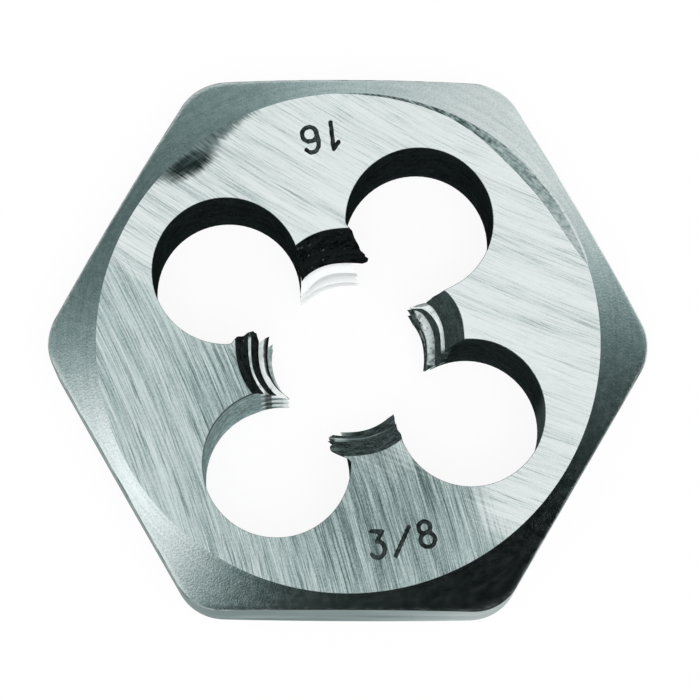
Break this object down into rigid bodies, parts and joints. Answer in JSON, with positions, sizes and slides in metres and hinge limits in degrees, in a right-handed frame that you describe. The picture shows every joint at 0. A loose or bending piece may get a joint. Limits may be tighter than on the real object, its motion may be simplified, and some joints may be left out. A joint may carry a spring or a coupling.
{
  "type": "threading die",
  "caption": "Hexagonal rethreading die of hardened steel, with an interrupted internal thread, chip holes and a conical lead-in.",
  "frame": {"origin": "on the thread axis, in the plane of the plain back face", "axes": "+Z along the thread axis out of the marked starting face with the lead-in cone, +X towards a corner of the hexagon"},
  "size_m": [0.0286, 0.0254, 0.0079],
  "materials": {
    "steel": "coarsely ground flat faces, matte turned chamfers and near-black bores"
  },
  "bodies": {
    "root": {"hex_die": "steel"}
  },
  "joints": []
}
